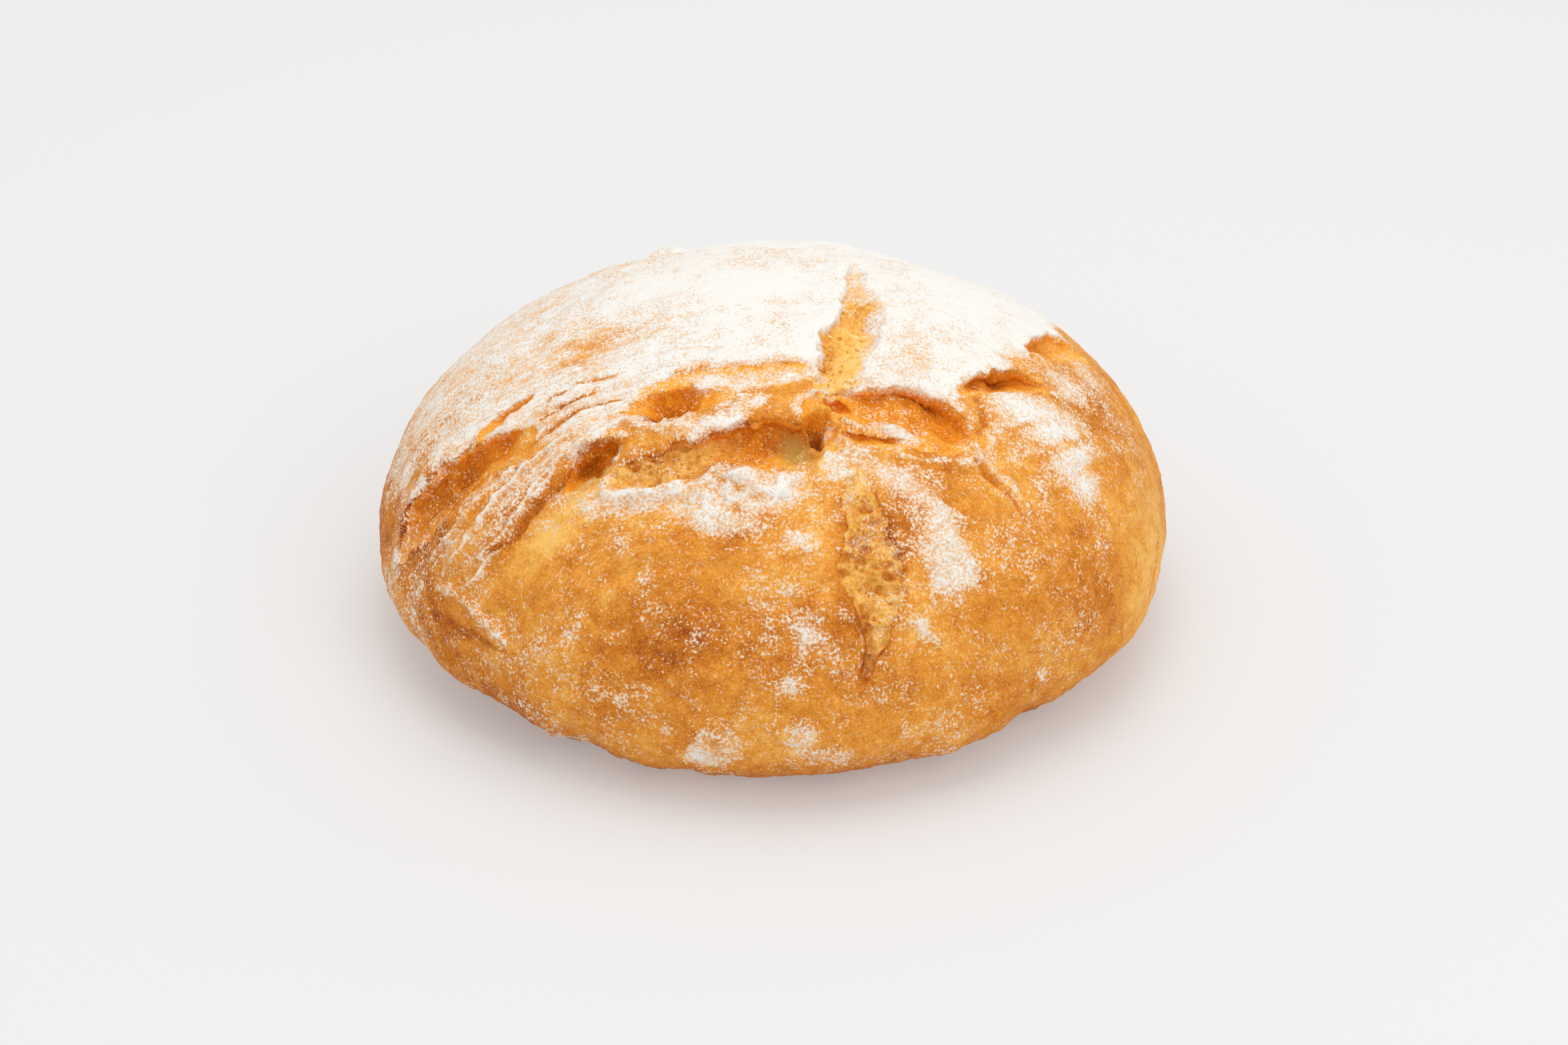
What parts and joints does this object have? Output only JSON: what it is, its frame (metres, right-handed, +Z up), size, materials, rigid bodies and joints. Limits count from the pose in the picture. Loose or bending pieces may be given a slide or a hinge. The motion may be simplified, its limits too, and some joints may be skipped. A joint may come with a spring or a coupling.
{
  "type": "round crusty corn bread loaf",
  "caption": "Round flour-dusted corn bread loaf: a low crusty dome on a flat bottom crust, torn open along a cross cut. Eaten, sliced or displayed; rests on any flat surface.",
  "frame": {"origin": "on the table under the middle of the loaf's box, in the plane of the flat bottom crust", "axes": "+Z up through the crown, +X to the right when the loaf is seen from the front, +Y to the back; the cross cut's centre lies in front of the crown, on the -Y side"},
  "size_m": [0.183, 0.17, 0.0805],
  "materials": {
    "crust": "matte"
  },
  "bodies": {
    "root": {"loaf": "crust"}
  },
  "joints": []
}
